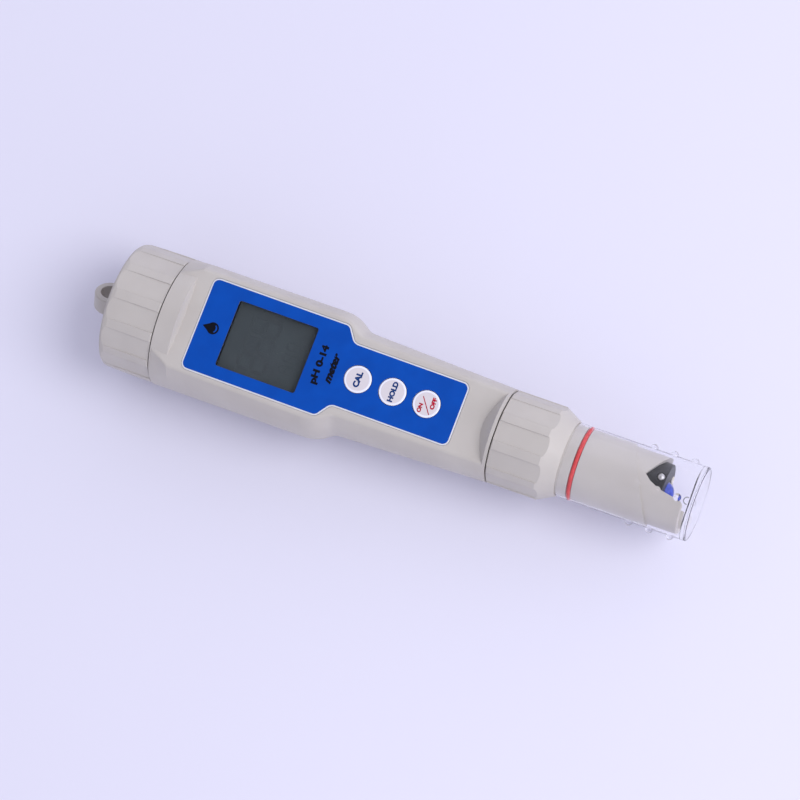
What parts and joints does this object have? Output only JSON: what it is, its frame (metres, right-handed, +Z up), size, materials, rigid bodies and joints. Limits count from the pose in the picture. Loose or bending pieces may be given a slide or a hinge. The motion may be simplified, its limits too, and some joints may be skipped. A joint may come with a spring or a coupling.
{
  "type": "digital ph meter",
  "caption": "Pen-type digital pH meter: grey tapered housing, blue keypad face with display and round keys, ribbed battery cap with lanyard eye, screw collar, electrode under a clear cap.",
  "frame": {"origin": "centre of the bounding box's bottom face, on the surface the meter lies on", "axes": "+X along the pen from the battery cap to the electrode, +Z up out of the face with the display and keys, +Y to the left of +X"},
  "size_m": [0.1869, 0.038, 0.0378],
  "materials": {
    "shell_grey": "satin moulded plastic",
    "label_blue": "glossy printed polyester",
    "key_white": "smooth white",
    "window_clear": "clear",
    "lcd_glass": "dark grey-green display",
    "black_plastic": "fine texture",
    "board_green": "solder mask",
    "rubber_grey": "matt",
    "rubber_red": "satin",
    "steel": "plated",
    "brass_gold": "gold plated",
    "ceramic_white": "porous",
    "glass_blue": "blue tinted sensing glass",
    "clear_cap": "clear moulded",
    "inner_white": "plain"
  },
  "bodies": {
    "housing_body": {"housing": "shell_grey", "face_plate": "black_plastic", "label_overlay": "label_blue", "display_window": "window_clear", "tact_switches": "black_plastic", "lcd_panel": "lcd_glass", "lcd_bezel": "black_plastic", "zebra_strips": "rubber_grey", "main_board": "board_green", "board_screws": "steel", "microcontroller": "black_plastic", "converter_chip": "black_plastic", "smd_passives": "ceramic_white", "trimmer": "inner_white", "crystal": "steel", "battery_holder": "black_plastic", "holder_screws": "steel", "inner_contact": "steel", "return_strip": "steel", "button_cell_1": "steel", "button_cell_2": "steel", "button_cell_3": "steel", "button_cell_4": "steel", "electrode_socket": "black_plastic", "socket_contacts": "brass_gold"},
    "cal_button": {"key_cal": "key_white", "plunger_cal": "inner_white"},
    "hold_button": {"key_hold": "key_white", "plunger_hold": "inner_white"},
    "on_off_button": {"key_on_off": "key_white", "plunger_on_off": "inner_white"},
    "cap_seal": {"battery_cap_seal": "rubber_grey"},
    "battery_cap": {"battery_cap": "shell_grey", "lanyard_eye": "shell_grey", "cap_contact_disc": "steel", "cap_contact_spring": "steel"},
    "electrode_module": {"electrode_plug": "black_plastic", "plug_pins": "brass_gold", "electrode_shell": "shell_grey", "electrode_guard": "shell_grey", "electrode_core": "black_plastic", "glass_electrode": "glass_blue", "silver_wire": "steel", "stem_seal": "rubber_grey", "temperature_bead": "steel", "reference_junction": "ceramic_white", "seat_seal": "rubber_grey", "cap_ring": "rubber_red"},
    "collar": {"lock_collar": "shell_grey"},
    "storage_cap": {"clear_cap": "clear_cap"}
  },
  "joints": [
    {"name": "cal_press", "type": "slide", "parent": "housing_body", "child": "cal_button", "axis": [-0.0614, 0, -0.9981], "range_m": [0, 0.0005], "stiffness_N_per_m": 800},
    {"name": "hold_press", "type": "slide", "parent": "housing_body", "child": "hold_button", "axis": [-0.0614, 0, -0.9981], "range_m": [0, 0.0005], "stiffness_N_per_m": 800},
    {"name": "on_off_press", "type": "slide", "parent": "housing_body", "child": "on_off_button", "axis": [-0.0614, 0, -0.9981], "range_m": [0, 0.0005], "stiffness_N_per_m": 800},
    {"name": "battery_cap_travel", "type": "slide", "parent": "housing_body", "child": "cap_seal", "axis": [-1, 0, 0], "range_m": [0, 0.006]},
    {"name": "battery_cap_turn", "type": "hinge", "parent": "cap_seal", "child": "battery_cap", "pos_m": [-0.076, 0, 0.0188], "axis": [-1, 0, 0], "range_deg": [0, 720]},
    {"name": "electrode_travel", "type": "slide", "parent": "housing_body", "child": "electrode_module", "axis": [1, 0, 0], "range_m": [0, 0.00625]},
    {"name": "collar_turn", "type": "hinge", "parent": "electrode_module", "child": "collar", "pos_m": [0.042, 0, 0.0188], "axis": [1, 0, 0], "range_deg": [0, 900]},
    {"name": "storage_cap_pull", "type": "slide", "parent": "electrode_module", "child": "storage_cap", "axis": [1, 0, 0], "range_m": [0, 0.04]}
  ],
  "couplings": [
    {"joint": "battery_cap_travel", "follows": "battery_cap_turn", "m_per_rad": 0.00047746},
    {"joint": "electrode_travel", "follows": "collar_turn", "m_per_rad": 0.00039789}
  ]
}
